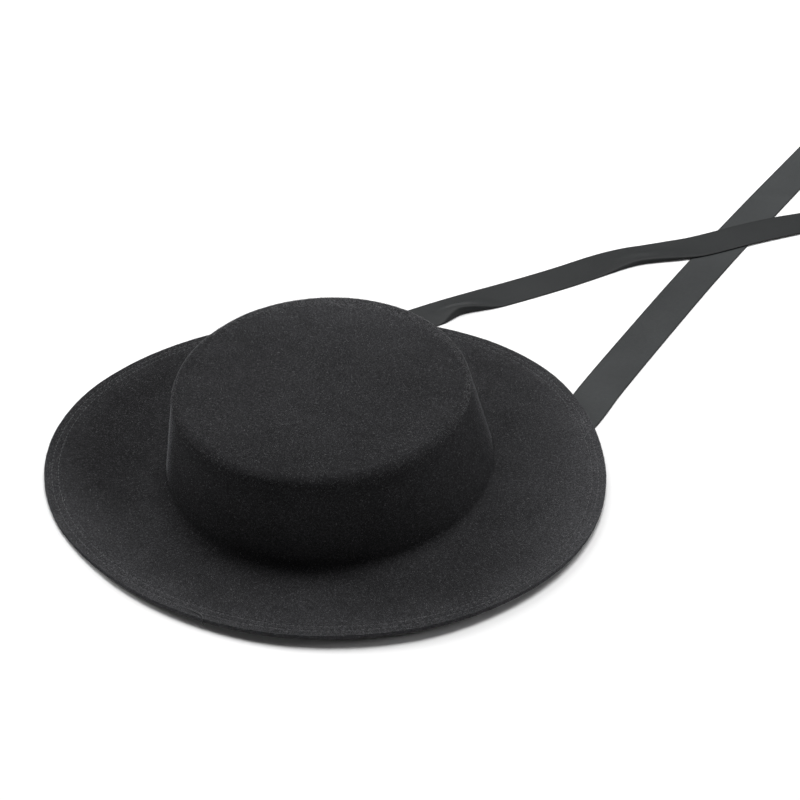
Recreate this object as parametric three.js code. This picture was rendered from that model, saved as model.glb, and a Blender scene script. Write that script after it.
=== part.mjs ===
// A flat-top felt hat lying brim down, with its two ribbon ties laid out behind it.
// Millimetres, +Z up. The origin is the middle of the head opening, on the surface the hat rests on;
// -Y is the front of the hat and +X the right-hand side as seen from the front.
import * as THREE from 'three';
import { mergeVertices } from 'three/addons/utils/BufferGeometryUtils.js';

// Felt
const FELT_THICKNESS = 2.2;
const AROUND = 84; // sections around the hat
const STEPS = { top: 1, shoulder: 4, wall: 3, fillet: 4, brim: 4 }; // along each section

// Crown: an oval block with a flat top. Half sizes are of the outer face, with the corners still sharp.
const CROWN_FOOT = { halfWidth: 87.0, halfLength: 96.7, height: 4.2 };
const CROWN_TOP = { halfWidth: 76.9, halfLength: 88.8, height: 52.2 };
const CROWN_LEAN = new THREE.Vector2(-4.5, 0.5); // how far the top has settled from the middle
const TOP_EDGE_RADIUS = 5.5;
const FOOT_FILLET_RADIUS = 4.0;

// Brim edge, every 15 degrees from +X: how far out it reaches and how far its underside is off the surface.
const BRIM_EDGE = [
  { reach: 146.6, lift: 2.2 }, { reach: 145.1, lift: 2.2 }, { reach: 145.8, lift: 2.2 },
  { reach: 147.8, lift: 2.1 }, { reach: 147.8, lift: 1.9 }, { reach: 145.9, lift: 1.9 },
  { reach: 144.0, lift: 1.8 }, { reach: 144.1, lift: 1.4 }, { reach: 145.2, lift: 1.0 },
  { reach: 147.8, lift: 0.59 }, { reach: 150.8, lift: 0.25 }, { reach: 153.3, lift: 0.14 },
  { reach: 153.4, lift: 0.12 }, { reach: 151.9, lift: 0.12 }, { reach: 149.5, lift: 0.15 },
  { reach: 146.9, lift: 0.94 }, { reach: 146.4, lift: 1.9 }, { reach: 147.2, lift: 2.7 },
  { reach: 148.9, lift: 3.4 }, { reach: 149.8, lift: 3.9 }, { reach: 150.9, lift: 4.2 },
  { reach: 150.5, lift: 3.9 }, { reach: 150.1, lift: 3.3 }, { reach: 148.7, lift: 2.7 },
];

// Ribbon ties
const RIBBON = { width: 24, thickness: 1.0, lengthSteps: 600 };
const FOLD = { radius: 1.2, steps: 8, runOut: 40 }; // where a tie is folded over on the surface
const SEAM = { fromWall: 2.0, bendRadius: 4.0, top: 25, rowStep: 1.6 }; // where it turns up inside the crown
const WALL_FROM = 10; // the inner face of the crown wall is straight between these heights
const WALL_TO = 30;
// A buckle of a tie: the cloth climbs from the floor at climbFrom (measured from the near edge), tips over a
// crest and drops steeply back to the floor.
const BUCKLE = { climbFrom: 19, crestRadius: 1.5, drop: 76 };
const CROSSING = { x: 198, y: 283, clear: 1.35, flat: 38, ramp: 22 }; // the left tie lies on the right one

// Where each tie is sewn in, how far in from the wall it is folded over, the points of its run along the
// surface, and the buckles beside its near edge (distances along the run).
const LEFT_TIE = {
  name: 'ribbon_tie_left',
  sewnAngle: 200,
  foldIn: 28,
  run: [
    [-57, 12], [-47, 60], [-22, 108], [4.4, 137.8], [22.6, 155.1], [37.7, 168.2], [53.7, 181], [70.1, 193.7],
    [86.6, 206.9], [102.9, 220.7], [118.2, 234.5], [128.4, 242.7], [138.8, 249.5], [150, 255], [162.7, 260.6],
    [176.4, 267.8], [188.8, 276.3], [205, 288.2], [221.3, 299.1], [246, 314.5], [271, 330],
  ],
  buckles: [
    { from: 205, peak: 226, to: 257, height: 4.3, slant: 0.3 },
    { from: 312, peak: 356, to: 402, height: 2.6, slant: 0.2 },
  ],
  rowStep: 7,
  columns: 6,
  liesOn: CROSSING,
};
const RIGHT_TIE = {
  name: 'ribbon_tie_right',
  sewnAngle: -20,
  foldIn: 20,
  run: [
    [92, 6], [111, 35], [124.6, 64.8], [134.3, 97], [152.4, 152], [180.2, 233.5], [212.6, 321.6],
    [247.7, 413], [261.5, 449],
  ],
  buckles: [],
  rowStep: 14,
  columns: 4,
};

const felt = new THREE.MeshStandardMaterial({ color: 0x2b2b2e, roughness: 0.95, metalness: 0 });
const ribbon = new THREE.MeshStandardMaterial({ color: 0x43474a, roughness: 0.7, metalness: 0 });

const UP = new THREE.Vector3(0, 0, 1);
const radians = THREE.MathUtils.degToRad;
const mix = THREE.MathUtils.lerp;

function onOval(oval, angle) {
  const x = oval.halfWidth * Math.sin(angle);
  const y = oval.halfLength * Math.cos(angle);
  return (oval.halfWidth * oval.halfLength) / Math.hypot(x, y);
}

// The corner of a bent sheet: points of its rounded middle line, each with the direction across the sheet.
function roundedCorner(before, corner, after, radius, steps) {
  const into = corner.clone().sub(before).normalize();
  const out = after.clone().sub(corner).normalize();
  const turn = Math.asin(into.cross(out));
  const start = corner.clone().addScaledVector(into, -Math.abs(radius * Math.tan(turn / 2)));
  const side = new THREE.Vector2(-into.y, into.x);
  const centre = start.clone().addScaledVector(side, Math.sign(turn) * radius);
  return Array.from({ length: steps + 1 }, (_, i) => {
    const across = side.clone().rotateAround(new THREE.Vector2(), (turn * i) / steps);
    return { at: centre.clone().addScaledVector(across, -Math.sign(turn) * radius), across };
  });
}

function straight(from, to, steps) {
  const along = to.clone().sub(from).normalize();
  const across = new THREE.Vector2(-along.y, along.x);
  return Array.from({ length: steps }, (_, i) => ({ at: from.clone().lerp(to, i / steps), across }));
}

// Middle line of the felt at one angle, from the middle of the crown top out to the brim's edge.
function middleLine(angle, edgeReach, edgeLift) {
  const half = FELT_THICKNESS / 2;
  const axis = new THREE.Vector2(0, CROWN_TOP.height - half);
  const top = new THREE.Vector2(onOval(CROWN_TOP, angle) - half, CROWN_TOP.height - half);
  const foot = new THREE.Vector2(onOval(CROWN_FOOT, angle) - half, CROWN_FOOT.height - half);
  const edge = new THREE.Vector2(edgeReach, edgeLift + half);
  const shoulder = roundedCorner(axis, top, foot, TOP_EDGE_RADIUS - half, STEPS.shoulder);
  const fillet = roundedCorner(top, foot, edge, FOOT_FILLET_RADIUS + half, STEPS.fillet);
  return [
    ...straight(axis, shoulder[0].at, STEPS.top),
    ...shoulder,
    ...straight(shoulder.at(-1).at, fillet[0].at, STEPS.wall).slice(1),
    ...fillet,
    ...straight(fillet.at(-1).at, edge, STEPS.brim).slice(1),
    { at: edge, across: fillet.at(-1).across },
  ];
}

// Outline of the felt at one angle: out along its underside, round the cut edge and back over the top.
function feltSection(angle, edgeReach, edgeLift) {
  const middle = middleLine(angle, edgeReach, edgeLift);
  const face = (offset) => middle.map(({ at, across }) => at.clone().addScaledVector(across, offset));
  return [...face(-FELT_THICKNESS / 2), ...face(FELT_THICKNESS / 2).reverse()];
}

function feltBody() {
  const edgeCurve = new THREE.CatmullRomCurve3(
    BRIM_EDGE.map(({ reach, lift }, i) => {
      const angle = (i / BRIM_EDGE.length) * 2 * Math.PI;
      return new THREE.Vector3(reach * Math.cos(angle), reach * Math.sin(angle), lift);
    }),
    true,
    'catmullrom',
  );
  const sections = Array.from({ length: AROUND }, (_, i) => {
    const edge = edgeCurve.getPoint(i / AROUND);
    const angle = Math.atan2(edge.y, edge.x);
    return feltSection(angle, Math.hypot(edge.x, edge.y), edge.z).map(({ x, y }) => {
      const height = (y - CROWN_FOOT.height) / (CROWN_TOP.height - CROWN_FOOT.height);
      const lean = THREE.MathUtils.clamp(height, 0, 1);
      return new THREE.Vector3(
        x * Math.cos(angle) + lean * CROWN_LEAN.x,
        x * Math.sin(angle) + lean * CROWN_LEAN.y,
        y,
      );
    });
  });
  const outline = sections[0].map(({ x, z }) => new THREE.Vector2(Math.max(x, 0), z));
  const geometry = new THREE.LatheGeometry(outline, AROUND);
  const position = geometry.getAttribute('position');
  for (let i = 0; i <= AROUND; i++) {
    sections[i % AROUND].forEach(({ x, y, z }, j) => position.setXYZ(i * outline.length + j, x, y, z));
  }
  return merged(geometry);
}

// Joins the vertices that share a place and drops the triangles that closed up, as at the two poles.
function merged(geometry) {
  geometry.deleteAttribute('normal');
  geometry.deleteAttribute('uv');
  const joined = mergeVertices(geometry, 1e-4);
  const corners = joined.getIndex().array;
  const kept = [];
  for (let i = 0; i < corners.length; i += 3) {
    const [a, b, c] = corners.slice(i, i + 3);
    if (a !== b && b !== c && c !== a) kept.push(a, b, c);
  }
  joined.setIndex(kept);
  joined.computeVertexNormals();
  return joined;
}

// Rolls whatever lies past a line in a level sheet up around that line.
function rollUp(point, { at, along, past, radius, turn }) {
  const offset = point.clone().sub(at);
  const beyond = offset.dot(past);
  if (beyond <= 0) return point;
  const arc = Math.min(beyond / radius, turn);
  const rest = Math.max(beyond - radius * turn, 0);
  const reach = (radius - offset.z) * Math.sin(arc) + rest * Math.cos(turn);
  const rise = radius - (radius - offset.z) * Math.cos(arc) + rest * Math.sin(turn);
  return at.clone()
    .addScaledVector(along, offset.dot(along))
    .addScaledVector(past, reach)
    .addScaledVector(UP, rise);
}

const direction = (angle) => new THREE.Vector3(Math.cos(angle), Math.sin(angle), 0);
const smooth = (value, from, to) => THREE.MathUtils.smoothstep(value, from, to);

// A point of the crown's inner face, at an angle and a height.
function innerWall(angle, height) {
  const share = (height - CROWN_FOOT.height) / (CROWN_TOP.height - CROWN_FOOT.height);
  const reach = mix(onOval(CROWN_FOOT, angle), onOval(CROWN_TOP, angle), share) - FELT_THICKNESS;
  return direction(angle)
    .multiplyScalar(reach)
    .add(new THREE.Vector3(CROWN_LEAN.x, CROWN_LEAN.y, 0).multiplyScalar(share))
    .setZ(height);
}

function wallNormal(angle) {
  const { halfWidth, halfLength } = CROWN_FOOT;
  const normal = new THREE.Vector3(Math.cos(angle) / halfWidth ** 2, Math.sin(angle) / halfLength ** 2, 0);
  return normal.normalize();
}

// How high a tie's buckles stand, each slanting across the tie.
function crestHeight(tie, s, fromNear) {
  return tie.buckles.reduce((sum, { from, peak, to, height, slant }) => {
    const at = s + slant * fromNear;
    return sum + height * smooth(at, from, peak) * (1 - smooth(at, peak, to));
  }, 0);
}

// Where a point of a tie goes in its buckles: x across the run and y up. The cloth keeps its width, so a
// buckle draws the near edge in.
function buckled(tie, s, v) {
  const { climbFrom, crestRadius } = BUCKLE;
  const drop = radians(BUCKLE.drop);
  const fromNear = v + RIBBON.width / 2;
  const height = crestHeight(tie, s, fromNear);
  if (height <= 0 || fromNear >= climbFrom) return new THREE.Vector2(v, 0);
  const turn = Math.min(drop, Math.acos(Math.max(-1, 1 - height / crestRadius)));
  const straightDrop = Math.max(0, height - crestRadius * (1 - Math.cos(drop))) / Math.sin(drop);
  const strip = crestRadius * turn + straightDrop;
  const climb = climbFrom - strip;
  const t = Math.min((climbFrom - fromNear) / climb, 1);
  const drawn = ((18 * height ** 2) / climb) * (t ** 3 / 3 - t ** 4 / 2 + t ** 5 / 5);
  if (fromNear >= strip) return new THREE.Vector2(v + drawn, height * smooth(t, 0, 1));
  const past = strip - fromNear;
  const arc = Math.min(past / crestRadius, turn);
  const rest = Math.max(past - crestRadius * turn, 0);
  return new THREE.Vector2(
    strip - RIBBON.width / 2 + drawn - crestRadius * Math.sin(arc) - rest * Math.cos(turn),
    height - crestRadius * (1 - Math.cos(arc)) - rest * Math.sin(turn),
  );
}

// The same for a point off the cloth's middle: it stays square to the cloth.
function buckledSection(tie, s, v, offset) {
  const side = 0.3;
  const slope = buckled(tie, s, v + side).sub(buckled(tie, s, v - side)).normalize();
  const across = new THREE.Vector2(-slope.y, slope.x);
  return buckled(tie, s, v).addScaledVector(across, offset);
}

// The hump that takes a tie over the other one.
function humpOverOther({ liesOn }, centre) {
  if (!liesOn) return 0;
  const { x, y, clear, flat, ramp } = liesOn;
  return clear * (1 - smooth(Math.hypot(centre.x - x, centre.y - y), flat, flat + ramp));
}

// One tie: a flat strip along its run, folded over at the near end and turned up the crown's inner face.
function ribbonTie(tie) {
  const half = RIBBON.thickness / 2;
  const sewn = radians(tie.sewnAngle);
  const outward = wallNormal(sewn);
  const foot = innerWall(sewn, WALL_FROM);
  const slope = Math.atan2(foot.clone().sub(innerWall(sewn, WALL_TO)).dot(outward), WALL_TO - WALL_FROM);
  const fold = foot.clone().addScaledVector(outward, -tie.foldIn).setZ(0);
  const run = new THREE.CatmullRomCurve3(
    [fold, ...tie.run.map(([x, y]) => new THREE.Vector3(x, y, 0))],
    false,
    'centripetal',
  );
  run.arcLengthDivisions = RIBBON.lengthSteps;
  const runLength = run.getLength();

  // The fold: its crease halves the angle between the run and the way back to the wall.
  const heading = run.getTangentAt(0);
  const crease = heading.clone().sub(outward).normalize();
  const creaseSide = new THREE.Vector3(crease.y, -crease.x, 0);
  if (creaseSide.dot(heading) > 0) creaseSide.negate();
  const halfBend = (Math.PI * FOLD.radius) / 2;
  const creaseFold = {
    at: fold.clone().addScaledVector(creaseSide, -halfBend).setZ(half),
    along: crease,
    past: creaseSide,
    radius: FOLD.radius,
    turn: Math.PI,
  };

  // The turn up the wall, which leaves the tie parallel to the wall.
  const level = half + 2 * FOLD.radius;
  const turn = Math.PI / 2 + slope;
  const turnTop = level + SEAM.bendRadius * (1 - Math.cos(turn));
  const toWall = tie.foldIn - (turnTop - foot.z) * Math.tan(slope) - SEAM.fromWall / Math.cos(slope);
  const toTurn = toWall - SEAM.bendRadius * Math.sin(turn);
  const wallTurn = {
    at: fold.clone().addScaledVector(outward, toTurn).setZ(level),
    along: new THREE.Vector3(-outward.y, outward.x, 0),
    past: outward,
    radius: SEAM.bendRadius,
    turn,
  };
  const upWall = (SEAM.top - turnTop) / Math.sin(turn);
  const hidden = toTurn + SEAM.bendRadius * turn + upWall;

  // Rows across the tie run along the crease near the fold and square across elsewhere.
  const slant = -creaseSide.dot(new THREE.Vector3(-heading.y, heading.x, 0)) / creaseSide.dot(heading);
  const inFold = -halfBend / creaseSide.dot(heading);
  const slantAt = (row) => {
    const fade = (Math.abs(row) - inFold) / ((row < 0 ? toTurn : FOLD.runOut) - inFold);
    return slant * (1 - THREE.MathUtils.clamp(fade, 0, 1));
  };
  const rows = tieRows(hidden, inFold, runLength, tie.rowStep);
  const box = new THREE.BoxGeometry(
    rows.length - 1,
    RIBBON.width,
    RIBBON.thickness,
    rows.length - 1,
    tie.columns,
    1,
  );
  const position = box.getAttribute('position');
  for (let i = 0; i < position.count; i++) {
    const row = rows[Math.round(position.getX(i) + (rows.length - 1) / 2)];
    const v = position.getY(i);
    const s = row + v * slantAt(row);
    const onRun = THREE.MathUtils.clamp(s / runLength, 0, 1);
    const centre = run.getPointAt(onRun);
    const along = run.getTangentAt(onRun);
    if (s < 0) centre.addScaledVector(along, s);
    const leftwards = new THREE.Vector3(-along.y, along.x, 0).normalize();
    const section = buckledSection(tie, s, v, position.getZ(i));
    const flat = centre.clone().addScaledVector(leftwards, section.x);
    flat.z = half + section.y + humpOverOther(tie, centre);
    const placed = row < inFold ? rollUp(rollUp(flat, creaseFold), wallTurn) : flat;
    position.setXYZ(i, placed.x, placed.y, placed.z);
  }
  return merged(box);
}

// Distances of the rows from the fold: close together where the tie bends, wide where it lies straight.
function tieRows(hidden, inFold, runLength, step) {
  const upTo = (from, to, spacing) => {
    const count = Math.ceil((to - from) / spacing);
    return Array.from({ length: count }, (_, i) => mix(from, to, i / count));
  };
  return [
    ...upTo(-hidden, -inFold, SEAM.rowStep),
    ...upTo(-inFold, inFold, (2 * inFold) / FOLD.steps),
    ...upTo(inFold, runLength, step),
    runLength,
  ];
}

function piece(name, geometry, material) {
  const mesh = new THREE.Mesh(geometry, material);
  mesh.name = name;
  return mesh;
}

const hat = new THREE.Group();
hat.add(piece('felt_body', feltBody(), felt));
hat.add(piece(LEFT_TIE.name, ribbonTie(LEFT_TIE), ribbon));
hat.add(piece(RIGHT_TIE.name, ribbonTie(RIGHT_TIE), ribbon));

export default hat;
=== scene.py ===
import math

import bmesh
import bpy
import numpy as np
from mathutils import Euler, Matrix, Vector, noise


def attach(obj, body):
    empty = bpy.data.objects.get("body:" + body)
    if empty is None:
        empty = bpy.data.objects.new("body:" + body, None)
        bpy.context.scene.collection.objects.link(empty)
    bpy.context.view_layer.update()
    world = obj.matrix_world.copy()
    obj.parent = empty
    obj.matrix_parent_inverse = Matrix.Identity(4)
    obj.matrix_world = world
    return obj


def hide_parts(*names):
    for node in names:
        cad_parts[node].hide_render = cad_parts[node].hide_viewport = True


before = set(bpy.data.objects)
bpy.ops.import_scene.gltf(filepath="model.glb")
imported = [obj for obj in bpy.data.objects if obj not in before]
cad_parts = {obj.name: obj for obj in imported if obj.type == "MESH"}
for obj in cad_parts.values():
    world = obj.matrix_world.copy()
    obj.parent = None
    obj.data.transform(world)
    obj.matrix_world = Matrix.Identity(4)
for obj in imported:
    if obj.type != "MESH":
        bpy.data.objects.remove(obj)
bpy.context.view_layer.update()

mm = 0.001
up = Vector((0, 0, 1))
sharpAngle = math.radians(50)  # edges sharper than this are rounded


def smoothStep(value, start, end):
    t = min(max((value - start) / (end - start), 0.0), 1.0)
    return t * t * (3 - 2 * t)


def mix(a, b, share):
    return a + (b - a) * share


def addPiece(name, mesh, material):
    mesh.shade_smooth()
    mesh.materials.append(material)
    piece = bpy.data.objects.new(name, mesh)
    bpy.context.collection.objects.link(piece)
    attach(piece, "root")
    return piece


def meshPiece(name, bm, material):
    mesh = bpy.data.meshes.new(name)
    bm.to_mesh(mesh)
    bm.free()
    return addPiece(name, mesh, material)


def arrayPiece(name, verts, faces, material):
    mesh = bpy.data.meshes.new(name)
    mesh.from_pydata(verts, [], faces.tolist())
    return addPiece(name, mesh, material)


# A spin leaves the faces in an order that changes from run to run, and the nap that is strewn over
# them would change too. This gives the same shape with its faces in a fixed order.
def inFixedOrder(bm):
    bm.verts.index_update()
    corners = [[vert.index for vert in face.verts] for face in bm.faces]
    starts = [around.index(min(around)) for around in corners]
    settled = bmesh.new()
    verts = [settled.verts.new(vert.co) for vert in bm.verts]
    for around in sorted(around[start:] + around[:start] for around, start in zip(corners, starts)):
        settled.faces.new([verts[i] for i in around])
    bm.free()
    return settled


def addModifier(piece, name, kind, **settings):
    modifier = piece.modifiers.new(name, kind)
    for key, value in settings.items():
        setattr(modifier, key, value)


def newGroup(name, inputs, outputs):
    group = bpy.data.node_groups.new(name, "ShaderNodeTree")
    for label, kind, value in inputs:
        socket = group.interface.new_socket(name=label, in_out="INPUT", socket_type=kind)
        if value is not None:
            socket.default_value = value
    for label, kind in outputs:
        group.interface.new_socket(name=label, in_out="OUTPUT", socket_type=kind)
    return group, nodeMaker(group)


# Adds nodes to one tree; a value is either a constant or a socket to link from.
class nodeMaker:
    def __init__(self, tree):
        self.tree = tree

    def add(self, kind, values=None, **settings):
        node = self.tree.nodes.new(kind)
        for key, value in settings.items():
            setattr(node, key, value)
        for key, value in (values or {}).items():
            self.put(node.inputs[key], value)
        return node

    def put(self, socket, value):
        if isinstance(value, bpy.types.NodeSocket):
            self.tree.links.new(value, socket)
        else:
            socket.default_value = value

    def math(self, operation, a, b=0.0):
        node = self.add("ShaderNodeMath", operation=operation)
        self.put(node.inputs[0], a)
        self.put(node.inputs[1], b)
        return node.outputs[0]

    def mixColour(self, share, a, b):
        node = self.add("ShaderNodeMix", data_type="RGBA")
        self.put(node.inputs[0], share)
        self.put(node.inputs[6], a)
        self.put(node.inputs[7], b)
        return node.outputs[2]

    def scaleColour(self, colour, factor):
        node = self.add("ShaderNodeVectorMath", operation="SCALE")
        self.put(node.inputs[0], colour)
        self.put(node.inputs["Scale"], factor)
        return node.outputs[0]

    def remap(self, value, low, high, toLow=0.0, toHigh=1.0, smooth=True):
        node = self.add("ShaderNodeMapRange", interpolation_type="SMOOTHSTEP" if smooth else "LINEAR")
        for socket, number in zip(node.inputs, (value, low, high, toLow, toHigh)):
            self.put(socket, number)
        return node.outputs[0]

    def noise(self, vector, scale, detail=2.0, roughness=0.5, distortion=0.0):
        return self.add("ShaderNodeTexNoise", {
            "Vector": vector, "Scale": scale, "Detail": detail,
            "Roughness": roughness, "Distortion": distortion}).outputs["Fac"]

    def objectPlace(self):
        return self.add("ShaderNodeTexCoord").outputs["Object"]

    def bump(self, height, distance, strength):
        return self.add("ShaderNodeBump", {
            "Height": height, "Distance": distance, "Strength": strength}).outputs["Normal"]

    # the surface shader: a colour to link, and the shader's own constants
    def surface(self, colour, constants, normal=None):
        shader = self.add("ShaderNodeBsdfPrincipled", {"Base Color": colour, **constants})
        if normal:
            self.put(shader.inputs["Normal"], normal)
        self.put(self.add("ShaderNodeOutputMaterial").inputs["Surface"], shader.outputs[0])


def newMaterial(name):
    material = bpy.data.materials.new(name)
    material.use_nodes = True
    material.node_tree.nodes.clear()
    return material, nodeMaker(material.node_tree)


# Short fibres lying in every direction: stretched noise turned three ways, for both colour and relief.
def fibreGroup():
    group, n = newGroup(
        "fibres",
        [("Vector", "NodeSocketVector", None), ("Size", "NodeSocketFloat", 0.0006),
         ("Stretch", "NodeSocketFloat", 5.0), ("Cover", "NodeSocketFloat", 0.5)],
        [("Strand", "NodeSocketFloat"), ("Height", "NodeSocketFloat")])
    given = n.add("NodeGroupInput").outputs
    across = n.math("DIVIDE", 1.0, given["Size"])
    along = n.math("DIVIDE", across, given["Stretch"])
    strands = []
    for turn in (17, 78, 139):
        swirl = n.add("ShaderNodeMapping", {
            "Vector": given["Vector"], "Rotation": (math.radians(turn * 0.3), 0.2, math.radians(turn)),
            "Location": (turn * 0.01, 0.0, 0.0)}).outputs[0]
        stretch = n.add("ShaderNodeCombineXYZ", {"X": along, "Y": across, "Z": across}).outputs[0]
        scaled = n.add("ShaderNodeVectorMath", operation="MULTIPLY")
        n.put(scaled.inputs[0], swirl)
        n.put(scaled.inputs[1], stretch)
        strands.append(n.noise(scaled.outputs[0], 1.0, 1.0, 0.5, 0.35))
    crossing = n.math("MAXIMUM", n.math("MAXIMUM", strands[0], strands[1]), strands[2])
    low = n.math("SUBTRACT", 0.66, n.math("MULTIPLY", given["Cover"], 0.14))
    out = n.add("NodeGroupOutput")
    n.put(out.inputs["Strand"], n.remap(crossing, low, n.math("ADD", low, 0.13)))
    n.put(out.inputs["Height"], crossing)
    return group


# Slow patchiness of dye and nap.
def mottleGroup():
    group, n = newGroup(
        "mottle",
        [("Vector", "NodeSocketVector", None), ("Size", "NodeSocketFloat", 0.02),
         ("Amount", "NodeSocketFloat", 0.2)],
        [("Value", "NodeSocketFloat")])
    given = n.add("NodeGroupInput").outputs
    broad = n.noise(given["Vector"], n.math("DIVIDE", 1.0, given["Size"]), 3.0, 0.55, 0.4)
    centred = n.math("MULTIPLY", n.math("SUBTRACT", broad, 0.5), n.math("MULTIPLY", given["Amount"], 2.0))
    n.put(n.add("NodeGroupOutput").inputs["Value"], n.math("ADD", 1.0, centred))
    return group


# Plain weave over a piece's own map, in threads across and along.
def weaveGroup():
    group, n = newGroup(
        "weave",
        [("Map", "NodeSocketVector", None), ("Threads Across", "NodeSocketFloat", 60.0),
         ("Threads Along", "NodeSocketFloat", 1400.0)],
        [("Height", "NodeSocketFloat"), ("Gap", "NodeSocketFloat")])
    given = n.add("NodeGroupInput").outputs
    parts = n.add("ShaderNodeSeparateXYZ", {"Vector": given["Map"]}).outputs
    waves = []
    for part, count in ((parts["X"], given["Threads Across"]), (parts["Y"], given["Threads Along"])):
        turns = n.math("MULTIPLY", n.math("MULTIPLY", part, count), math.pi)
        waves.append(n.math("SINE", turns))
    over = n.math("MULTIPLY", waves[0], waves[1])
    out = n.add("NodeGroupOutput")
    rib = n.math("ABSOLUTE", waves[1])
    n.put(out.inputs["Height"], n.math("ADD", n.math("MULTIPLY", over, 0.25), n.math("MULTIPLY", rib, 0.7)))
    n.put(out.inputs["Gap"], n.remap(n.math("ABSOLUTE", over), 0.0, 0.35, 1.0, 0.0))
    return group


groups = {"fibres": fibreGroup(), "mottle": mottleGroup(), "weave": weaveGroup()}


def useGroup(n, name, values):
    node = n.add("ShaderNodeGroup", node_tree=groups[name])
    for key, value in values.items():
        n.put(node.inputs[key], value)
    return node.outputs


stage = {
    "cameraPlace": (202.69 * mm, -938.51 * mm, 677.67 * mm),
    "cameraTurn": (90 - 33.549, 0, 10.0),  # degrees
    "lens": 99.0,  # mm on a 36 mm sensor
    "floorSize": 3.0,
    "floorColour": (0.90, 0.90, 0.90, 1),
    "sky": (1.0, 1.0, 1.0, 1),
    "skyStrength": 0.02,
    "lampReach": 2.2,
    "lampAim": (0.05, 0.05, 0.0),
    # softboxes: turn from +X and height in degrees, power in W, width in m
    "lamps": {"left": (160, 26, 17, 1.0), "backLeft": (128, 48, 15, 0.9), "overhead": (90, 71, 34.5, 0.9),
              "backRight": (48, 46, 14, 0.9), "right": (4, 24, 8, 1.0),
              "frontLeft": (225, 20, 3.2, 1.1)},
}


def buildStage():
    scene = bpy.context.scene
    scene.view_settings.view_transform = "Standard"
    cameraData = bpy.data.cameras.new("camera")
    cameraData.lens = stage["lens"]
    cameraData.sensor_width = 36.0
    camera = bpy.data.objects.new("camera", cameraData)
    camera.location = stage["cameraPlace"]
    camera.rotation_euler = [math.radians(a) for a in stage["cameraTurn"]]
    bpy.context.collection.objects.link(camera)
    scene.camera = camera

    bm = bmesh.new()
    bmesh.ops.create_grid(bm, x_segments=1, y_segments=1, size=stage["floorSize"])
    bmesh.ops.translate(bm, verts=bm.verts, vec=(0, 0, -0.02 * mm))
    mesh = bpy.data.meshes.new("floor")
    bm.to_mesh(mesh)
    bm.free()
    material, n = newMaterial("paleFloor")
    n.surface(stage["floorColour"], {"Roughness": 0.9, "Specular IOR Level": 0.1})
    mesh.materials.append(material)
    floor = bpy.data.objects.new("floor", mesh)
    bpy.context.collection.objects.link(floor)

    world = bpy.data.worlds.new("studio")
    world.use_nodes = True
    background = world.node_tree.nodes["Background"]
    background.inputs["Color"].default_value = stage["sky"]
    background.inputs["Strength"].default_value = stage["skyStrength"]
    scene.world = world

    for name, (turn, height, power, width) in stage["lamps"].items():
        data = bpy.data.lights.new(name, "AREA")
        data.shape = "DISK"
        data.size = width
        data.energy = power
        light = bpy.data.objects.new(name, data)
        away = Euler((0, -math.radians(height), math.radians(turn))).to_matrix() @ Vector((1, 0, 0))
        light.location = Vector(stage["lampAim"]) + away * stage["lampReach"]
        light.rotation_euler = (-away).to_track_quat("-Z", "Y").to_euler()
        bpy.context.collection.objects.link(light)


buildStage()
print("stage ready")


felt = {
    "thickness": 2.2 * mm,
    "footHalf": (87.0 * mm, 96.7 * mm),  # half width and half length of the crown's outer face
    "footHeight": 4.2 * mm,
    "topHalf": (76.9 * mm, 88.8 * mm),
    "topHeight": 52.2 * mm,
    "lean": (-4.5 * mm, 0.5 * mm),  # how far the top has settled from the middle
    "topEdgeRadius": 5.5 * mm,
    "footRadius": 4.0 * mm,
    # brim edge every 15 degrees from +X: reach and lift of its underside
    "brimEdge": [(146.6, 2.2), (145.1, 2.2), (145.8, 2.2), (147.8, 2.1), (147.8, 1.9), (145.9, 1.9),
                 (144.0, 1.8), (144.1, 1.4), (145.2, 1.0), (147.8, 0.59), (150.8, 0.25), (153.3, 0.14),
                 (153.4, 0.12), (151.9, 0.12), (149.5, 0.15), (146.9, 0.94), (146.4, 1.9), (147.2, 2.7),
                 (148.9, 3.4), (149.8, 3.9), (150.9, 4.2), (150.5, 3.9), (150.1, 3.3), (148.7, 2.7)],
    "sections": 400,
    "topRings": 15,
    "wallRings": 8,
    # rings of the brim, in mm from its edge, close together at the two sewn rows
    "brimRings": [0, 0.7, 1.6, 2.6, 3.3, 3.65, 4.0, 4.35, 4.7, 5.6, 6.6, 7.05, 7.4, 7.75, 8.2,
                  10, 13, 16.5, 20, 25, 30, 35, 40, 45, 50],
    "sewnRows": (4.0, 7.4),  # mm from the edge
    "sewnGroove": 0.22 * mm,
    "grooveHalf": 0.75,  # half the width of a row's groove, in mm
    "dome": 0.9 * mm,
    "domeEdge": 30 * mm,
    "bendSteps": 7,
    "longestStep": 3.5 * mm,  # longer faces from foot to top are cut in two
    "roughCut": 0.12 * mm,  # how far the cut edge strays
    "unevenness": 0.25 * mm,
    "unevennessFade": 20 * mm,
    "ripple": 0.035 * mm,
    "rippleSeed": 3,
    "edgeRounding": 0.45 * mm,
    "offBrim": 100 * mm,  # the distance from the edge that is noted for the whole crown
}
weldReach = 0.02 * mm  # points nearer than this are taken as one
noise.seed_set(felt["rippleSeed"])  # the vector noise is set by the clock otherwise
blockRadius = {
    "top": sum(felt["topHalf"]) / 2,
    "foot": sum(felt["footHalf"]) / 2,
    "brim": 148.0 * mm,
}


def ovalReach(halves, angle):
    width, length = halves
    return width * length / math.hypot(width * math.sin(angle), length * math.cos(angle))


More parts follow.
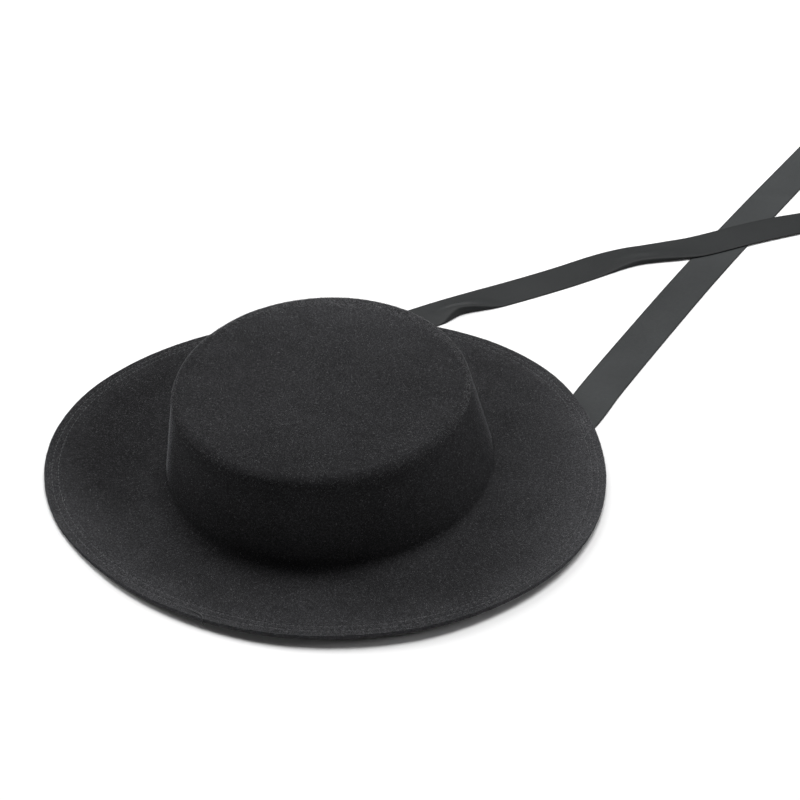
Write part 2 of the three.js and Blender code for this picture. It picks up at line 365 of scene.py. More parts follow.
# Closed Catmull-Rom curve through the brim table, read by angle.
def brimEdgeTable():
    count = len(felt["brimEdge"])
    turns = [2 * math.pi * i / count for i in range(count)]
    knots = [Vector((reach * math.cos(turn), reach * math.sin(turn), lift))
             for turn, (reach, lift) in zip(turns, felt["brimEdge"])]
    angles, reaches, lifts = [], [], []
    for i in range(count):
        a, b, c, d = (knots[(i + k - 1) % count] for k in range(4))
        for step in range(60):
            t = step / 60
            point = 0.5 * (2 * b + (c - a) * t + (2 * a - 5 * b + 4 * c - d) * t ** 2
                           + (3 * b - a - 3 * c + d) * t ** 3)
            angles.append(math.atan2(point.y, point.x) % (2 * math.pi))
            reaches.append(math.hypot(point.x, point.y) * mm)
            lifts.append(point.z * mm)
    order = np.argsort(angles)
    return [np.array(column)[order] for column in (angles, reaches, lifts)]


brimTable = brimEdgeTable()


def brimEdgeAt(angle):
    angles, reaches, lifts = brimTable
    angle %= 2 * math.pi
    return (float(np.interp(angle, angles, reaches, period=2 * math.pi)),
            float(np.interp(angle, angles, lifts, period=2 * math.pi)))


# Moves a point of the round block to its place on the oval hat.
# Gives the place and how far it is from the brim's edge.
def shapeOnBlock(point):
    radius, angle = math.hypot(point.x, point.y), math.atan2(point.y, point.x)
    height = min(max((point.z - felt["footHeight"]) / (felt["topHeight"] - felt["footHeight"]), 0.0), 1.0)
    footReach = ovalReach(felt["footHalf"], angle)
    z = point.z
    fromEdge = felt["offBrim"]
    if radius > blockRadius["foot"]:
        edgeReach, edgeLift = brimEdgeAt(angle)
        span = edgeReach - footReach
        blockSpan = blockRadius["brim"] - blockRadius["foot"]
        fromEdge = blockRadius["brim"] - radius
        fromEdge += (span - blockSpan) * (fromEdge / blockSpan) ** 2
        reach = edgeReach - fromEdge
        z += (1 - fromEdge / span) * (edgeLift + felt["thickness"] - felt["footHeight"])
    else:
        topChange = ovalReach(felt["topHalf"], angle) - blockRadius["top"]
        footChange = footReach - blockRadius["foot"]
        reach = radius + mix(footChange, topChange, height) * min(1.0, radius / blockRadius["top"])
        if radius < blockRadius["top"]:
            z += felt["dome"] * smoothStep(blockRadius["top"] - radius, 0, felt["domeEdge"])
    return Vector((reach * math.cos(angle) + height * felt["lean"][0],
                   reach * math.sin(angle) + height * felt["lean"][1], z)), max(fromEdge, 0.0)


# The felt's outer face with its unevenness, and the groove that each sewn row has pulled into it.
def feltFace(point):
    place, fromEdge = shapeOnBlock(point)
    wobble = noise.noise(point * 28) + 0.5 * noise.noise(point * 70)
    place.z += felt["unevenness"] * wobble * smoothStep(fromEdge, 0, felt["unevennessFade"])
    place += felt["ripple"] * noise.noise_vector(point * 260)
    for row in felt["sewnRows"]:
        place.z -= felt["sewnGroove"] * (1 - smoothStep(abs(fromEdge / mm - row), 0.0, felt["grooveHalf"]))
    return place, fromEdge


def buildFelt(material):
    bm = bmesh.new()
    rings = [blockRadius["brim"] - d * mm for d in reversed(felt["brimRings"])]
    corners = [(0, 0, felt["topHeight"]), (blockRadius["top"], 0, felt["topHeight"]),
               (blockRadius["foot"], 0, felt["footHeight"])] + [(r, 0, felt["footHeight"]) for r in rings]
    verts = [bm.verts.new(corner) for corner in corners]
    lines = [bm.edges.new(pair) for pair in zip(verts, verts[1:])]
    for line, count in zip(lines, (felt["topRings"], felt["wallRings"])):
        bmesh.ops.subdivide_edges(bm, edges=[line], cuts=count - 1)
    bmesh.ops.spin(bm, geom=bm.verts[:] + bm.edges[:], cent=(0, 0, 0), axis=(0, 0, 1), angle=2 * math.pi,
                   steps=felt["sections"], use_merge=True)
    bmesh.ops.remove_doubles(bm, verts=bm.verts, dist=weldReach / 4)

    # round the crown's top edge and the turn into the brim
    rise = felt["topHeight"] - felt["footHeight"]
    turn = math.atan2(rise, blockRadius["foot"] - blockRadius["top"])
    for radius, z, bend in ((blockRadius["top"], felt["topHeight"], felt["topEdgeRadius"]),
                            (blockRadius["foot"], felt["footHeight"], felt["footRadius"])):
        ring = [edge for edge in bm.edges
                if all(abs(vert.co.xy.length - radius) < weldReach and abs(vert.co.z - z) < weldReach
                       for vert in edge.verts)]
        bmesh.ops.bevel(bm, geom=ring, offset=bend * math.tan(turn / 2), offset_type="OFFSET",
                        segments=felt["bendSteps"], profile=0.5, affect="EDGES", material=-1)

    def isLong(edge):
        first, second = ((vert.co.xy.length, vert.co.z) for vert in edge.verts)
        step = abs(first[0] - second[0]) + abs(first[1] - second[1])
        return step > felt["longestStep"] and min(first[0], second[0]) > 1 * mm

    longEdges = [edge for edge in bm.edges if isLong(edge)]
    bmesh.ops.subdivide_edges(bm, edges=longEdges, cuts=1, use_grid_fill=True)
    bmesh.ops.recalc_face_normals(bm, faces=bm.faces)
    bm = inFixedOrder(bm)

    distance = bm.verts.layers.float.new("fromEdge")
    for vert in bm.verts:
        place, fromEdge = feltFace(vert.co)
        if fromEdge < 0.01 * mm:
            angle = math.atan2(place.y, place.x)
            around = Vector((math.cos(angle), math.sin(angle), 0.3))
            stray = noise.noise(around * 45) + 0.6 * noise.noise(around * 140)
            place.xy *= 1 + stray * felt["roughCut"] / place.xy.length
        vert[distance] = fromEdge / mm
        vert.co = place
    hat = meshPiece("felt_hat", bm, material)
    addModifier(hat, "thickness", "SOLIDIFY", thickness=felt["thickness"], offset=-1.0, use_even_offset=True)
    addModifier(hat, "cutEdge", "BEVEL", width=felt["edgeRounding"], segments=3,
                limit_method="ANGLE", angle_limit=sharpAngle)
    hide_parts("felt_body")
    return hat


feltLook = {
    "fine": {"Size": 0.28 * mm, "Stretch": 4.0, "Cover": 0.55},
    "coarse": {"Size": 0.6 * mm, "Stretch": 3.0, "Cover": 0.3},
    "coarseShare": 0.5,
    "patches": {"Size": 30 * mm, "Amount": 0.3},
    "clumps": {"Size": 1.1 * mm, "Amount": 0.7},
    "ground": (0.0165, 0.0165, 0.0174, 1),
    "fineFibre": (0.036, 0.036, 0.0385, 1),
    "coarseFibre": (0.062, 0.062, 0.0655, 1),
    "lint": (0.13, 0.13, 0.135, 1),
    "lintShare": 0.6,
    "lintGrid": 330.0,  # specks that could be, to the metre
    # Painted light and shade on the felt: how much paler (painted highlight), or darker below 0 (painted
    # shade), then where that starts and is full along each axis, in mm. The edge axis is the distance in from
    # the brim's edge, and the corner axis runs towards the front left. Painted highlight: the brim towards
    # its edge and on its cut edge, the crown wall, the brim's right side, the back of the top and the front
    # left edge. Painted shade: the brim on the left beside the crown and the front of the top.
    "paintedLight": [(0.3, ("edge", 26, 0)), (0.45, ("edge", 0.9, 0)), (0.18, ("z", 6, 12), ("z", 50, 44)),
             (0.85, ("x", 85, 150), ("z", 50, 44)), (0.4, ("y", 20, 90), ("z", 44, 50)),
             (0.35, ("corner", 105, 135)), (-0.36, ("x", -70, -120), ("y", -90, -20)),
             (-0.16, ("y", -35, -85), ("z", 36, 44))],
    "relief": (0.55, 0.4, 0.25),  # shares of the fine fibres, the coarse ones and the clumps
    "bump": (0.4 * mm, 0.4),
    "surface": {"Roughness": 1.0, "Specular IOR Level": 0.02, "Sheen Weight": 0.45, "Sheen Roughness": 0.1,
                "Sheen Tint": (0.93, 0.95, 1.0, 1)},
}


# Scales the felt's colour by the painted light and shade of the table above.
def paintedLightShade(n, place):
    x, y, z = n.add("ShaderNodeSeparateXYZ", {"Vector": place}).outputs
    edge = n.add("ShaderNodeAttribute", attribute_name="fromEdge").outputs["Fac"]
    axes = {"x": x, "y": y, "z": z, "edge": n.math("MULTIPLY", edge, mm),
            "corner": n.math("MULTIPLY", n.math("ADD", x, y), -0.7)}
    shade = 1.0
    for amount, *spans in feltLook["paintedLight"]:
        for axis, start, full in spans:
            amount = n.math("MULTIPLY", n.remap(axes[axis], start * mm, full * mm), amount)
        shade = n.math("ADD", amount, shade)
    return shade


def feltMaterial():
    material, n = newMaterial("blackFelt")
    place = n.objectPlace()
    fine = useGroup(n, "fibres", {"Vector": place, **feltLook["fine"]})
    coarse = useGroup(n, "fibres", {"Vector": place, **feltLook["coarse"]})
    patches = useGroup(n, "mottle", {"Vector": place, **feltLook["patches"]})["Value"]
    clumps = useGroup(n, "mottle", {"Vector": place, **feltLook["clumps"]})["Value"]
    colour = n.mixColour(fine["Strand"], feltLook["ground"], feltLook["fineFibre"])
    coarseShare = n.math("MULTIPLY", coarse["Strand"], feltLook["coarseShare"])
    colour = n.mixColour(coarseShare, colour, feltLook["coarseFibre"])
    colour = n.scaleColour(colour, n.math("MULTIPLY", patches, clumps))

    # pale specks of lint, few and far between
    specks = n.add("ShaderNodeTexVoronoi", {
        "Vector": place, "Scale": feltLook["lintGrid"], "Randomness": 1.0})
    speck = n.remap(specks.outputs["Distance"], 0.06, 0.14, 1.0, 0.0)
    rare = n.remap(n.noise(place, 90.0, 1.0), 0.5, 0.62)
    lintShare = n.math("MULTIPLY", n.math("MULTIPLY", speck, rare), feltLook["lintShare"])
    colour = n.mixColour(lintShare, colour, feltLook["lint"])
    # painted light and shade, patch by patch
    colour = n.scaleColour(colour, paintedLightShade(n, place))

    relief = 0.0
    for height, share in zip((fine["Height"], coarse["Height"], clumps), feltLook["relief"]):
        relief = n.math("ADD", n.math("MULTIPLY", height, share), relief)
    n.surface(colour, feltLook["surface"], n.bump(relief, *feltLook["bump"]))
    return material


hat = buildFelt(feltMaterial())
print("felt body ready,", len(hat.data.polygons), "faces before its thickness")


# A centripetal Catmull-Rom route through the points, read by the distance along it.
class tieRoute:
    def __init__(self, points):
        ends = [2 * points[0] - points[1], *points, 2 * points[-1] - points[-2]]
        places = []
        for a, b, c, d in zip(ends, ends[1:], ends[2:], ends[3:]):
            first, middle, last = ((q - p).length ** 0.5 for p, q in ((a, b), (b, c), (c, d)))
            leave = ((b - a) / first - (c - a) / (first + middle) + (c - b) / middle) * middle
            arrive = ((c - b) / middle - (d - b) / (middle + last) + (d - c) / last) * middle
            for t in np.arange(0, 1, 1 / 60):
                places.append(b + leave * t + (3 * (c - b) - 2 * leave - arrive) * t ** 2
                              + (2 * (b - c) + leave + arrive) * t ** 3)
        places.append(points[-1])
        self.places = np.array(places)
        steps = np.linalg.norm(np.diff(self.places, axis=0), axis=1)
        self.along = np.concatenate([[0], np.cumsum(steps)])
        self.length = float(self.along[-1])

    def at(self, s):
        s = min(max(s, 0.0), self.length)
        return Vector([float(np.interp(s, self.along, self.places[:, axis])) for axis in range(3)])

    def heading(self, s, reach=1.5 * mm):
        s = min(max(s, reach), self.length - reach)
        return (self.at(s + reach) - self.at(s - reach)).normalized()


stitching = {
    "pitch": 3.2 * mm,
    "length": 2.7 * mm,
    "thread": 0.36 * mm,
    "proud": 0.03 * mm,  # the thread's middle stands this far off the felt
    "bow": 0.3 * mm,  # how far its ends dip in
    "stray": 0.35,  # largest turn of a stitch out of its row, in radians
}


# Copies a small mesh to many places at once, as one piece. A place is a matrix's columns and a point.
def scatter(name, template, places, material):
    corners = np.array([vert.co for vert in template.verts])
    faces = np.array([[vert.index for vert in face.verts] for face in template.faces])
    template.free()
    spots = np.array([place[:3, 3] for place in places])
    frames = np.array([place[:3, :3] for place in places])
    verts = np.einsum("nij,vj->nvi", frames, corners) + spots[:, None, :]
    allFaces = faces[None] + (np.arange(len(places)) * len(corners))[:, None, None]
    return arrayPiece(name, verts.reshape(-1, 3), allFaces.reshape(-1, faces.shape[1]), material)


# A point of the felt's outer face on the brim, by angle and distance from the edge.
def onBrim(angle, fromEdge):
    radius = blockRadius["brim"] - fromEdge
    return feltFace(Vector((radius * math.cos(angle), radius * math.sin(angle), felt["footHeight"])))[0]


def stitchShape():
    stitch = bmesh.new()
    bmesh.ops.create_uvsphere(stitch, u_segments=7, v_segments=6, radius=1.0)
    stitch = inFixedOrder(stitch)
    bmesh.ops.rotate(stitch, verts=stitch.verts, matrix=Euler((0, math.pi / 2, 0)).to_matrix())
    bmesh.ops.scale(stitch, verts=stitch.verts, vec=(stitching["length"] / 2, stitching["thread"] / 2,
                                                     stitching["thread"] / 2))
    for vert in stitch.verts:
        vert.co.z -= stitching["bow"] * (2 * vert.co.x / stitching["length"]) ** 2
    bmesh.ops.triangulate(stitch, faces=stitch.faces)
    stitch.verts.index_update()
    return stitch


def stitchPlace(spot, along, normal):
    place = np.eye(4)
    for column, axis in enumerate((along, normal.cross(along), normal, spot)):
        place[:3, column] = axis
    return place


def buildStitching(material):
    places = []
    for row in felt["sewnRows"]:
        count = round(2 * math.pi * (blockRadius["brim"] - row * mm) / stitching["pitch"])
        for i in range(count):
            angle = 2 * math.pi * (i + 0.35 * noise.noise((i * 0.7, row, 0))) / count
            half = math.pi / count
            fromEdge = row * mm + 0.15 * mm * noise.noise((i * 0.21, row, 5))
            start, middle, end = (onBrim(angle + k * half, fromEdge) for k in (-0.8, 0, 0.8))
            along = (end - start).normalized()
            inward = onBrim(angle, fromEdge + 1.5 * mm) - onBrim(angle, fromEdge - 1.5 * mm)
            normal = along.cross(inward).normalized()
            normal *= math.copysign(1, normal.z)
            stray = stitching["stray"] * noise.noise((i * 1.3, row, 9))
            along = (along + normal.cross(along) * stray).normalized()
            for face, drop in ((1, 0.0), (-1, felt["thickness"])):
                spot = middle - normal * drop + normal * face * stitching["proud"]
                places.append(stitchPlace(spot, along, normal * face))
    return scatter("brim_stitching", stitchShape(), places, material)


threadLook = {
    "shadow": (0.036, 0.037, 0.039, 1),
    "light": (0.092, 0.094, 0.099, 1),
    "twist": 2600.0,
    "patches": {"Size": 12 * mm, "Amount": 0.35},
    "bump": (0.08 * mm, 0.6),
    "surface": {"Roughness": 0.55, "Specular IOR Level": 0.4},
}


def threadMaterial():
    material, n = newMaterial("sewingThread")
    place = n.objectPlace()
    twist = n.noise(place, threadLook["twist"], 1.0)
    patches = useGroup(n, "mottle", {"Vector": place, **threadLook["patches"]})["Value"]
    colour = n.mixColour(twist, threadLook["shadow"], threadLook["light"])
    n.surface(n.scaleColour(colour, patches), threadLook["surface"], n.bump(twist, *threadLook["bump"]))
    return material


looseEnd = {
    "angle": 256.6,  # degrees, where it hangs over the edge
    "thread": 0.34 * mm,
    # mm along the edge, mm in from it, mm above the brim
    "path": [(-11, 4.0, -0.05), (-8, 3.0, 0.25), (-4.5, 2.4, 0.3), (-1.5, 1.8, 0.35), (-0.2, 0.5, 0.3),
             (0.2, -0.45, -0.5), (0.3, -0.55, -1.9), (0.7, -0.5, -3.2)],
    "sides": 7,
    "steps": 6,
}


# A thread end that has worked out of the outer row and hangs over the cut edge.
def buildLooseEnd(material):
    knots = []
    for along, fromEdge, above in looseEnd["path"]:
        angle = math.radians(looseEnd["angle"]) + along * mm / blockRadius["brim"]
        spot = onBrim(angle, max(fromEdge, 0.0) * mm)
        spot.xy *= 1 - min(fromEdge, 0.0) * mm / spot.xy.length
        knots.append(spot + up * above * mm)
    route = tieRoute(knots)
    count = looseEnd["steps"] * len(knots)
    rings = []
    for i in range(count + 1):
        s = route.length * i / count
        ahead = route.heading(s, 0.2 * mm)
        side = ahead.cross(Vector((0.6, 0.5, 0.62))).normalized()
        turns = np.linspace(0, 2 * math.pi, looseEnd["sides"], endpoint=False)
        around = [side * math.cos(turn) + side.cross(ahead) * math.sin(turn) for turn in turns]
        rings.append([route.at(s) + way * looseEnd["thread"] / 2 for way in around])
    bm = bmesh.new()
    loops = []
    for ring in rings:
        verts = [bm.verts.new(co) for co in ring]
        loops.append([bm.edges.new((verts[k - 1], verts[k])) for k in range(len(verts))])
    for first, second in zip(loops, loops[1:]):
        bmesh.ops.bridge_loops(bm, edges=first + second)
    bmesh.ops.holes_fill(bm, edges=loops[0] + loops[-1], sides=0)
    bmesh.ops.recalc_face_normals(bm, faces=bm.faces)
    return meshPiece("loose_thread_end", bm, material)


sewingThread = threadMaterial()
seam = buildStitching(sewingThread)
buildLooseEnd(sewingThread)
print("stitching ready,", len(seam.data.polygons), "faces")


nap = {
    "seed": 7,
    "fibres": 95000,  # on each of the two parts
    "lengths": (0.4 * mm, 1.1 * mm),
    "lean": {"crown": (4, 42), "brim": (3, 30)},  # degrees off the surface
    "width": 0.06 * mm,
    "widths": (0.6, 1.3),
    "roll": 0.9,  # radians
    "sideways": 0.25,  # how far a tip strays sideways, as a share of the length
    "bow": 0.1,
    "proud": 0.01 * mm,
    "shoulderHighlightShare": 6.5,  # how much thicker the nap stands along the back of the crown's top edge, where its pale fibres paint a highlight along the rim
    "shoulderBand": 2.0 * mm,
    "shoulderBelow": 1.5 * mm,  # the middle of that band, under the top
    "shoulderReach": felt["topHalf"][0] - 2 * mm,
    "shoulderFade": (-50 * mm, 10 * mm),  # where it thickens, from front to back
    "wallShare": 0.4,  # and how much thinner on its wall
    "wallBelow": 6 * mm,
    "edgeShare": 2.4,  # and beside the brim's edge
    "edgeBand": 9.0,  # mm
}


# How thickly each triangle of the outer face is covered, by its middle and its distance from the edge in mm.
def napShare(part, middle, fromEdge):
    onBrimFace = fromEdge < 0.8 * felt["offBrim"] / mm
    if part == "brim":
        return onBrimFace * np.where(fromEdge < nap["edgeBand"], nap["edgeShare"], 1.0)
    height = middle[:, 2] - felt["topHeight"]
    reach = np.linalg.norm(middle[:, :2] - np.array(felt["lean"]), axis=1)
    atShoulder = np.abs(height + nap["shoulderBelow"]) < nap["shoulderBand"]
    atShoulder &= reach > nap["shoulderReach"]
    onWall = height < -nap["wallBelow"]
    # the back shoulder gets more of the pale fibres, a painted highlight along its rim
    thicker = np.interp(middle[:, 1], nap["shoulderFade"], (1.0, nap["shoulderHighlightShare"]))
    return ~onBrimFace * np.where(atShoulder, thicker, np.where(onWall, nap["wallShare"], 1.0))


def unit(vectors):
    return vectors / np.linalg.norm(vectors, axis=1)[:, None]


# Loose fibres of the nap over the outer face: each one is two narrow triangles with a bow.
def buildNap(part, hat, material):
    count = nap["fibres"]
    random = np.random.default_rng(nap["seed"] + len(part))
    mesh = hat.data
    mesh.calc_loop_triangles()
    places = np.empty(len(mesh.vertices) * 3, dtype=np.float32)
    normals = np.empty(len(mesh.vertices) * 3, dtype=np.float32)
    edge = np.empty(len(mesh.vertices), dtype=np.float32)
    corners = np.empty(len(mesh.loop_triangles) * 3, dtype=np.int32)
    mesh.vertices.foreach_get("co", places)
    mesh.vertices.foreach_get("normal", normals)
    mesh.attributes["fromEdge"].data.foreach_get("value", edge)
    mesh.loop_triangles.foreach_get("vertices", corners)
    places, normals = places.reshape(-1, 3).astype(float), normals.reshape(-1, 3).astype(float)
    corners = corners.reshape(-1, 3)
    corner = places[corners]
    area = np.linalg.norm(np.cross(corner[:, 1] - corner[:, 0], corner[:, 2] - corner[:, 0]), axis=1)
    weight = area * napShare(part, corner.mean(axis=1), edge[corners].mean(axis=1))

    # a root for each fibre, evenly over the triangle that it falls on
    picked = random.choice(len(corners), count, p=weight / weight.sum())
    first, second = random.random((2, count))
    flip = first + second > 1
    first[flip], second[flip] = 1 - first[flip], 1 - second[flip]
    shares = np.stack([1 - first - second, first, second], axis=1)[:, :, None]
    root = (corner[picked] * shares).sum(axis=1)
    normal = unit((normals[corners[picked]] * shares).sum(axis=1))

    heading = random.normal(size=(count, 3))
    heading = unit(heading - normal * (heading * normal).sum(axis=1)[:, None])
    low, high = nap["lean"][part]
    lean = np.radians(low + (high - low) * random.random(count) ** 2)[:, None]
    length = random.uniform(*nap["lengths"], count)[:, None]
    way = heading * np.cos(lean) + normal * np.sin(lean)
    roll = random.uniform(-nap["roll"], nap["roll"], count)[:, None]
    side = np.cross(normal, heading) * np.cos(roll) + normal * np.sin(roll)
    width = nap["width"] * random.uniform(*nap["widths"], count)[:, None]
    sideways = random.uniform(-nap["sideways"], nap["sideways"], count)[:, None]
    root = root + normal * nap["proud"]
    tip = root + way * length + side * length * sideways
    bend = (root + tip) / 2 + normal * length * nap["bow"]
    verts = np.stack([root, bend + side * width / 2, bend - side * width / 2, tip], axis=1).reshape(-1, 3)
    base = np.arange(count)[:, None] * 4
    faces = np.concatenate([base + [0, 2, 1], base + [1, 2, 3]])
    return arrayPiece(part + "_nap", verts, faces, material)


# The pale end of the fibres' colour is a painted sheen: black fibres that catch the light at a glancing
# angle, drawn paler than they are.
napLook = {
    "dark": (0.03, 0.03, 0.032, 1),
    "pale": (0.17, 0.17, 0.178, 1),
    "lint": (0.45, 0.45, 0.46, 1),
    "lintShare": 0.7,
    "surface": {"Roughness": 0.6, "Specular IOR Level": 0.3, "Sheen Weight": 0.1, "Sheen Roughness": 0.3},
}


def napMaterial():
    material, n = newMaterial("napFibre")
    place = n.objectPlace()
    dyed = n.mixColour(n.remap(n.noise(place, 900.0, 1.0), 0.35, 0.65), napLook["dark"], napLook["pale"])
    lint = n.remap(n.noise(place, 350.0, 2.0), 0.66, 0.72)
    n.surface(n.mixColour(n.math("MULTIPLY", lint, napLook["lintShare"]), dyed, napLook["lint"]),
              napLook["surface"])
    return material


napFibre = napMaterial()
for part in ("crown", "brim"):
    piece = buildNap(part, hat, napFibre)
    print(piece.name, "ready,", len(piece.data.polygons), "faces")


ribbon = {
    "width": 24 * mm,
    "thickness": 0.55 * mm,
    "columns": 30,
    "rowStep": 0.8 * mm,
    "foldRadius": 0.8 * mm,
    "foldRunOut": 40 * mm,
    # a buckle climbs from the floor this far from the near edge, tips over and drops back this steeply
    "climbFrom": 19 * mm,
    "crestRadius": 1.5 * mm,
    "dropAngle": 76,
    "seamFromWall": 1.55 * mm,
    "seamBend": 4.0 * mm,
    "seamTop": 25 * mm,
    "tackRows": (15 * mm, 21 * mm),  # heights of the stitches that hold the end to the wall
    "tacks": 7,
    "tackStray": 0.2,
    "selvedgeRounding": 0.16 * mm,
    "wallFrom": 10 * mm,
    "wallTo": 30 * mm,
    "crossing": (198 * mm, 283 * mm),
    "crossingClear": 0.75 * mm,
    "crossingFlat": 38 * mm,
    "crossingRamp": 22 * mm,
}
leftTie = {
    "name": "left_ribbon",
    "node": "ribbon_tie_left",
    "sewnAngle": 200,
    "paintedLightTone": 0.8,  # painted shade: the same cloth as the right tie, darker where its heading takes less of the light
    "farTone": 1.0,
    "foldIn": 28 * mm,
    "run": [(-57, 12), (-47, 60), (-22, 108), (4.4, 137.8), (22.6, 155.1), (37.7, 168.2), (53.7, 181),
            (70.1, 193.7), (86.6, 206.9), (102.9, 220.7), (118.2, 234.5), (128.4, 242.7), (138.8, 249.5),
            (150, 255), (162.7, 260.6), (176.4, 267.8), (188.8, 276.3), (205, 288.2), (221.3, 299.1),
            (246, 314.5), (271, 330)],
    # buckles beside the near edge: from, peak and to along the run, height, slant across the tie
    "buckles": [(205, 226, 257, 4.3, 0.3), (312, 356, 402, 2.6, 0.2)],
    "overOther": True,
}
rightTie = {
    "name": "right_ribbon",
    "node": "ribbon_tie_right",
    "sewnAngle": -20,
    # painted highlight: the same cloth as the left tie, paler where its heading takes more of the light
    "paintedLightTone": 1.3,
    "farTone": 1.28,  # paler towards its free end
    "foldIn": 20 * mm,
    "run": [(92, 6), (111, 35), (124.6, 64.8), (134.3, 97), (152.4, 152), (180.2, 233.5), (212.6, 321.6),
            (247.7, 413), (261.5, 449)],
    "buckles": [],
    "overOther": False,
}


# Rolls whatever lies past a line in a level sheet up around that line.
def rollUp(point, line):
    offset = point - line["at"]
    beyond = offset.dot(line["past"])
    if beyond <= 0:
        return point
    radius, turn = line["radius"], line["turn"]
    arc = min(beyond / radius, turn)
    rest = max(beyond - radius * turn, 0.0)
    reach = (radius - offset.z) * math.sin(arc) + rest * math.cos(turn)
    rise = radius - (radius - offset.z) * math.cos(arc) + rest * math.sin(turn)
    return line["at"] + line["along"] * offset.dot(line["along"]) + line["past"] * reach + up * rise


def innerWall(angle, height):
    share = (height - felt["footHeight"]) / (felt["topHeight"] - felt["footHeight"])
    foot, top = (ovalReach(felt[oval], angle) for oval in ("footHalf", "topHalf"))
    reach = mix(foot, top, share) - felt["thickness"]
    return Vector((math.cos(angle) * reach + felt["lean"][0] * share,
                   math.sin(angle) * reach + felt["lean"][1] * share, height))


def wallNormal(angle):
    width, length = felt["footHalf"]
    return Vector((math.cos(angle) / width ** 2, math.sin(angle) / length ** 2, 0)).normalized()


def crestHeight(tie, s, fromNear):
    total = 0.0
    for start, peak, end, height, slant in tie["buckles"]:
        at = (s + slant * fromNear) / mm
        total += height * mm * smoothStep(at, start, peak) * (1 - smoothStep(at, peak, end))
    return total


# Where a point of the tie goes in a buckle, across and up.
# The cloth keeps its width, so its near edge is drawn in.
def buckled(tie, s, v):
    half = ribbon["width"] / 2
    fromNear = v + half
    height = crestHeight(tie, s, fromNear)
    if height <= 0 or fromNear >= ribbon["climbFrom"]:
        return v, 0.0
    radius, drop = ribbon["crestRadius"], math.radians(ribbon["dropAngle"])
    turn = min(drop, math.acos(max(-1.0, 1 - height / radius)))
    strip = radius * turn + max(0.0, height - radius * (1 - math.cos(drop))) / math.sin(drop)
    climb = ribbon["climbFrom"] - strip
    t = min((ribbon["climbFrom"] - fromNear) / climb, 1.0)
    drawn = 18 * height ** 2 / climb * (t ** 3 / 3 - t ** 4 / 2 + t ** 5 / 5)
    if fromNear >= strip:
        return v + drawn, height * smoothStep(t, 0, 1)
    past = strip - fromNear
    arc = min(past / radius, turn)
    rest = max(past - radius * turn, 0.0)
    across = strip - half + drawn - radius * math.sin(arc) - rest * math.cos(turn)
    return across, height - radius * (1 - math.cos(arc)) - rest * math.sin(turn)


def humpOverOther(centre):
    away = (centre.xy - Vector(ribbon["crossing"])).length
    flat, ramp = ribbon["crossingFlat"], ribbon["crossingRamp"]
    return ribbon["crossingClear"] * (1 - smoothStep(away, flat, flat + ramp))


clothLook = {
    "colour": (0.026, 0.0278, 0.0285),
    "threads": {"Threads Across": 60.0, "Threads Along": 1400.0},
    "gapShade": (1.06, 0.8),  # painted highlight over a thread and painted shade in a gap
    "patches": {"Size": 60 * mm, "Amount": 0.34},
    "slubs": {"Size": 1.6 * mm, "Amount": 0.22},
    "farEnd": (0.55, 0.95),  # where the tone of the far end sets in, as shares of the length
    # darker along both edges of the tie
    "tieEdge": (0.009, 0.0095, 0.01, 1),
    "tieEdgeFrom": (0.458, 0.487),  # from the middle, as shares of the width
    "tieEdgeShare": 0.7,
    "bump": (0.07 * mm, 0.6),
    "surface": {"Roughness": 0.55, "Specular IOR Level": 0.16, "Sheen Weight": 0.02, "Sheen Roughness": 0.4},
}


def ribbonMaterial(tie):
    material, n = newMaterial(tie["name"] + "_cloth")
    flatMap = n.add("ShaderNodeUVMap", uv_map="ribbonMap").outputs[0]
    place = n.objectPlace()
    weave = useGroup(n, "weave", {"Map": flatMap, **clothLook["threads"]})
    patches = useGroup(n, "mottle", {"Vector": place, **clothLook["patches"]})["Value"]
    slubs = useGroup(n, "mottle", {"Vector": place, **clothLook["slubs"]})["Value"]
    # painted shade between the threads
    gaps = n.remap(weave["Gap"], 0.0, 1.0, *clothLook["gapShade"], smooth=False)
    across, along, _ = n.add("ShaderNodeSeparateXYZ", {"Vector": flatMap}).outputs
    # the tie's painted light or shade, paler towards its free end
    paintedLightTone = n.remap(along, *clothLook["farEnd"], tie["paintedLightTone"], tie["paintedLightTone"] * tie["farTone"])
    shade = n.math("MULTIPLY", n.math("MULTIPLY", n.math("MULTIPLY", patches, slubs), gaps), paintedLightTone)
    fromMiddle = n.math("ABSOLUTE", n.math("SUBTRACT", across, 0.5))
    tieEdge = n.math("MULTIPLY", n.remap(fromMiddle, *clothLook["tieEdgeFrom"]), clothLook["tieEdgeShare"])
    colour = n.mixColour(tieEdge, n.scaleColour(clothLook["colour"], shade), clothLook["tieEdge"])
    n.surface(colour, clothLook["surface"], n.bump(weave["Height"], *clothLook["bump"]))
    return material


# The tacking stitches on the inner face of a tie's sewn end.
def buildTacks(tie, sewn, outward):
    along = Vector((-outward.y, outward.x, 0))
    standOff = ribbon["seamFromWall"] + ribbon["thickness"] / 2
    places = []
    for height in ribbon["tackRows"]:
        for i in range(ribbon["tacks"]):
            across = (i - (ribbon["tacks"] - 1) / 2) * stitching["pitch"]
            spot = innerWall(sewn, height) - outward * standOff + along * across
            stray = ribbon["tackStray"] * noise.noise((i, height * 90, sewn))
            turned = (along + up * stray).normalized()
            places.append(stitchPlace(spot, turned, -outward))
    return scatter(tie["name"] + "_tacks", stitchShape(), places, sewingThread)


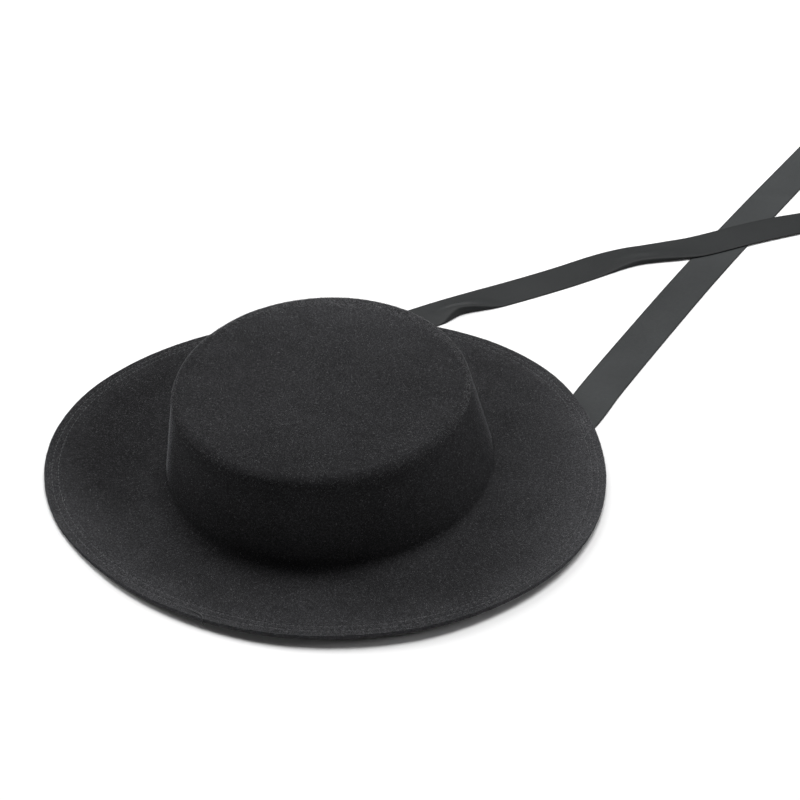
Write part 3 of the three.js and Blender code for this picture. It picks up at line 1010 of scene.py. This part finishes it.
def buildTie(tie):
    half = ribbon["thickness"] / 2
    sewn = math.radians(tie["sewnAngle"])
    outward = wallNormal(sewn)
    foot = innerWall(sewn, ribbon["wallFrom"])
    inset = (foot - innerWall(sewn, ribbon["wallTo"])).dot(outward)
    slope = math.atan2(inset, ribbon["wallTo"] - ribbon["wallFrom"])
    fold = foot - outward * tie["foldIn"]
    fold.z = 0
    route = tieRoute([fold] + [Vector((x * mm, y * mm, 0)) for x, y in tie["run"]])

    # the crease halves the angle between the run and the way back to the wall
    heading = route.heading(0)
    crease = (heading - outward).normalized()
    creaseSide = Vector((crease.y, -crease.x, 0))
    if creaseSide.dot(heading) > 0:
        creaseSide.negate()
    radius = ribbon["foldRadius"]
    halfBend = math.pi * radius / 2
    creaseAt = fold - creaseSide * halfBend
    creaseAt.z = half
    creaseFold = {"at": creaseAt, "along": crease, "past": creaseSide, "radius": radius, "turn": math.pi}

    # the turn up the wall, which leaves the tie parallel to the wall
    bend = ribbon["seamBend"]
    level = half + 2 * radius
    turn = math.pi / 2 + slope
    turnTop = level + bend * (1 - math.cos(turn))
    toWall = tie["foldIn"] - (turnTop - foot.z) * math.tan(slope) - ribbon["seamFromWall"] / math.cos(slope)
    toTurn = toWall - bend * math.sin(turn)
    turnAt = fold + outward * toTurn
    turnAt.z = level
    wallTurn = {"at": turnAt, "along": Vector((-outward.y, outward.x, 0)), "past": outward, "radius": bend,
                "turn": turn}
    hidden = toTurn + bend * turn + (ribbon["seamTop"] - turnTop) / math.sin(turn)

    # rows across the tie run along the crease near the fold and square across elsewhere
    slant = -creaseSide.dot(Vector((-heading.y, heading.x, 0))) / creaseSide.dot(heading)
    inFold = -halfBend / creaseSide.dot(heading)

    length = hidden + route.length
    rows = math.ceil(length / ribbon["rowStep"])
    bm = bmesh.new()
    bm.loops.layers.uv.new("ribbonMap")
    bmesh.ops.create_grid(bm, x_segments=ribbon["columns"], y_segments=rows, size=0.5, calc_uvs=True)
    for vert in bm.verts:
        across, along = vert.co.x, vert.co.y + 0.5
        row = along * length - hidden
        v = across * ribbon["width"]
        fade = (abs(row) - inFold) / ((toTurn if row < 0 else ribbon["foldRunOut"]) - inFold)
        s = row + v * slant * (1 - min(max(fade, 0.0), 1.0))
        centre = route.at(s)
        ahead = route.heading(s)
        if s < 0:
            centre += ahead * s
        acrossRun, height = buckled(tie, s, v)
        place = centre + Vector((-ahead.y, ahead.x, 0)) * acrossRun
        place.z = half + height + (humpOverOther(centre) if tie["overOther"] else 0.0)
        if row < inFold:
            place = rollUp(rollUp(place, creaseFold), wallTurn)
        vert.co = place
    bmesh.ops.recalc_face_normals(bm, faces=bm.faces)
    piece = meshPiece(tie["name"], bm, ribbonMaterial(tie))
    addModifier(piece, "thickness", "SOLIDIFY", thickness=ribbon["thickness"], offset=0.0)
    addModifier(piece, "tieEdge", "BEVEL", width=ribbon["selvedgeRounding"], segments=2,
                limit_method="ANGLE", angle_limit=sharpAngle)
    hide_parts(tie["node"])
    buildTacks(tie, sewn, outward)
    print(tie["name"], "is", round(length / mm), "mm long,", round(hidden / mm), "mm of it inside the crown")


buildTie(rightTie)
buildTie(leftTie)
print("ribbon ties ready")
